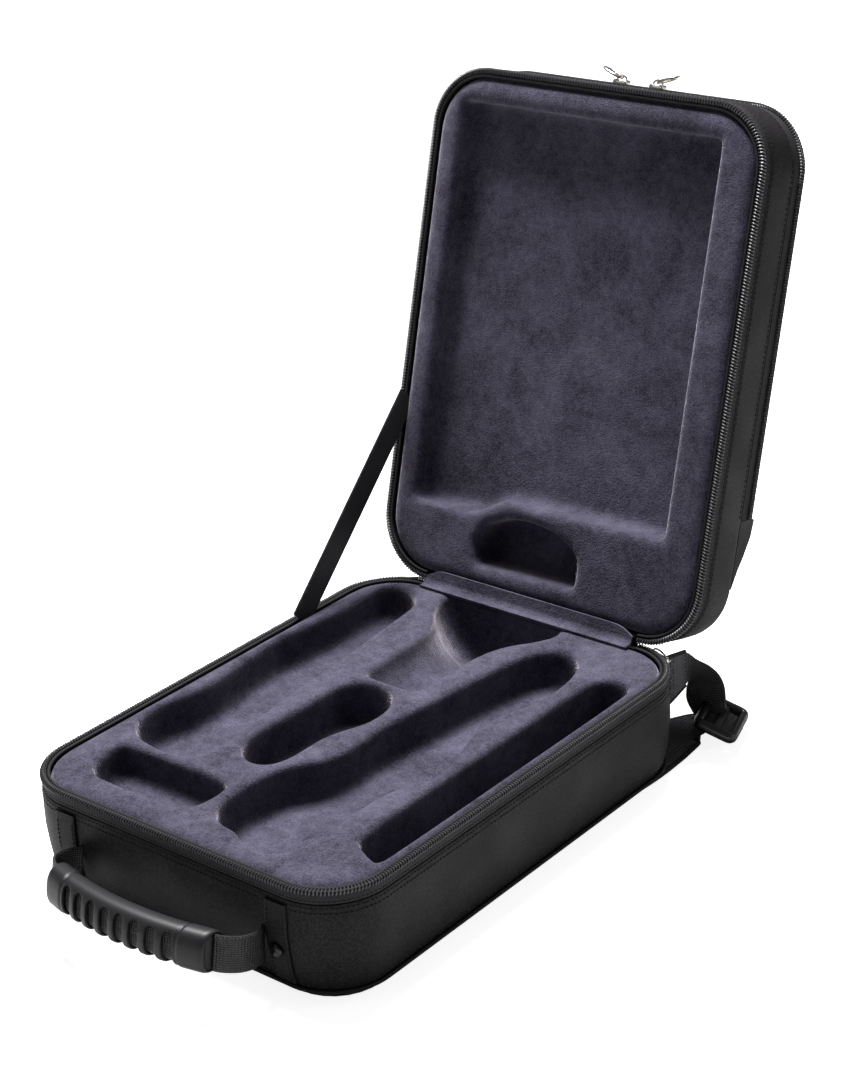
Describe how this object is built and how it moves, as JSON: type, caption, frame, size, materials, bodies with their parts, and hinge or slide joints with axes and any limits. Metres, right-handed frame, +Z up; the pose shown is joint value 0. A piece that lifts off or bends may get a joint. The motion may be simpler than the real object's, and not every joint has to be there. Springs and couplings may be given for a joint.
{
  "type": "clarinet case",
  "caption": "Soft shelled backpack case with a zipped hinged lid, a plush insert with fitted recesses, a lid pocket, a carry handle and shoulder straps.",
  "frame": {"origin": "centre of the flat underside of the base, on the surface that the case lies on", "axes": "+X to the wall with the narrow accessory well, +Y to the hinge and -Y to the carry handle, +Z up out of the open base"},
  "size_m": [0.3006, 0.5486, 0.4221],
  "materials": {
    "shell_fabric": "matt",
    "zip_tape": "woven",
    "zip_coil": "satin",
    "plush": "brushed nap",
    "grip_rubber": "satin",
    "webbing": "woven",
    "air_mesh": "open mesh",
    "buckle_plastic": "moulded",
    "nickel": "satin plated",
    "black_metal": "satin"
  },
  "bodies": {
    "base": {"back_panel": "shell_fabric", "base_shell": "shell_fabric", "base_piping": "zip_tape", "base_zip_tape": "zip_tape", "base_zip_teeth": "zip_coil", "base_rim_binding": "zip_tape", "base_insert": "plush", "handle_tab_left": "shell_fabric", "handle_rivet_left": "black_metal", "handle_webbing_left": "webbing", "shoulder_pad_left": "air_mesh", "strap_buckle_left": "buckle_plastic", "strap_webbing_left": "webbing", "strap_wing_left": "shell_fabric", "handle_tab_right": "shell_fabric", "handle_rivet_right": "black_metal", "handle_webbing_right": "webbing", "shoulder_pad_right": "air_mesh", "strap_buckle_right": "buckle_plastic", "strap_webbing_right": "webbing", "strap_wing_right": "shell_fabric", "hinge_fabric": "shell_fabric", "hinge_liner": "plush", "stay_strap": "webbing"},
    "lid": {"lid_shell": "shell_fabric", "lid_insert": "plush", "lid_zip_tape": "zip_tape", "lid_zip_teeth": "zip_coil", "lid_rim_binding": "zip_tape", "pocket_zip_tape_lower": "zip_tape", "pocket_zip_teeth_lower": "zip_coil", "pocket_lower_end": "shell_fabric"},
    "pocket": {"pocket_flap": "shell_fabric", "pocket_zip_tape_upper": "zip_tape", "pocket_zip_teeth_upper": "zip_coil"},
    "handle": {"handle_grip": "grip_rubber", "handle_core": "webbing"},
    "pocket_slider_left": {"pocket_slider_left": "nickel"},
    "pocket_pull_left": {"pocket_pull_left": "nickel"},
    "main_slider_left": {"main_slider_left": "nickel"},
    "main_pull_left": {"main_pull_left": "nickel"},
    "pocket_slider_right": {"pocket_slider_right": "nickel"},
    "pocket_pull_right": {"pocket_pull_right": "nickel"},
    "main_slider_right": {"main_slider_right": "nickel"},
    "main_pull_right": {"main_pull_right": "nickel"}
  },
  "joints": [
    {"name": "lid_hinge", "type": "hinge", "parent": "base", "child": "lid", "pos_m": [0, 0.1754, 0.082], "axis": [1, 0, 0], "range_deg": [0, 105.6], "deforming": ["stay_strap", "hinge_fabric", "hinge_liner"]},
    {"name": "pocket_flap_hinge", "type": "hinge", "parent": "lid", "child": "pocket", "pos_m": [0, 0.2507, 0.15089], "axis": [-1, 0, 0], "range_deg": [0, 90]},
    {"name": "handle_swing", "type": "hinge", "parent": "base", "child": "handle", "pos_m": [0, -0.17678, 0.0345], "axis": [-1, 0, 0], "range_deg": [-30, 45], "deforming": ["handle_webbing_left", "handle_webbing_right"]},
    {"name": "pocket_slider_slide_left", "type": "slide", "parent": "lid", "child": "pocket_slider_left", "axis": [-1, 0, 0], "range_m": [0, 0.07]},
    {"name": "pocket_pull_swing_left", "type": "hinge", "parent": "pocket_slider_left", "child": "pocket_pull_left", "pos_m": [-0.0145, 0.31588, 0.4139], "axis": [0, 0.9632, -0.2689], "range_deg": [-20, 150]},
    {"name": "main_slider_travel_left", "type": "hinge", "parent": "base", "child": "main_slider_left", "pos_m": [-0.09, 0.135, 0.0726], "axis": [0, 0, 1], "range_deg": [-18, 62]},
    {"name": "main_pull_swing_left", "type": "hinge", "parent": "main_slider_left", "child": "main_pull_left", "pos_m": [-0.10988, 0.17764, 0.0726], "axis": [0, 0, 1], "range_deg": [0, 170]},
    {"name": "pocket_slider_slide_right", "type": "slide", "parent": "lid", "child": "pocket_slider_right", "axis": [1, 0, 0], "range_m": [0, 0.07]},
    {"name": "pocket_pull_swing_right", "type": "hinge", "parent": "pocket_slider_right", "child": "pocket_pull_right", "pos_m": [0.0145, 0.31588, 0.4139], "axis": [0, -0.9632, 0.2689], "range_deg": [-20, 150]},
    {"name": "main_slider_travel_right", "type": "hinge", "parent": "base", "child": "main_slider_right", "pos_m": [0.09, 0.135, 0.0726], "axis": [0, 0, -1], "range_deg": [-18, 62]},
    {"name": "main_pull_swing_right", "type": "hinge", "parent": "main_slider_right", "child": "main_pull_right", "pos_m": [0.10988, 0.17764, 0.0726], "axis": [0, 0, -1], "range_deg": [0, 170]}
  ]
}
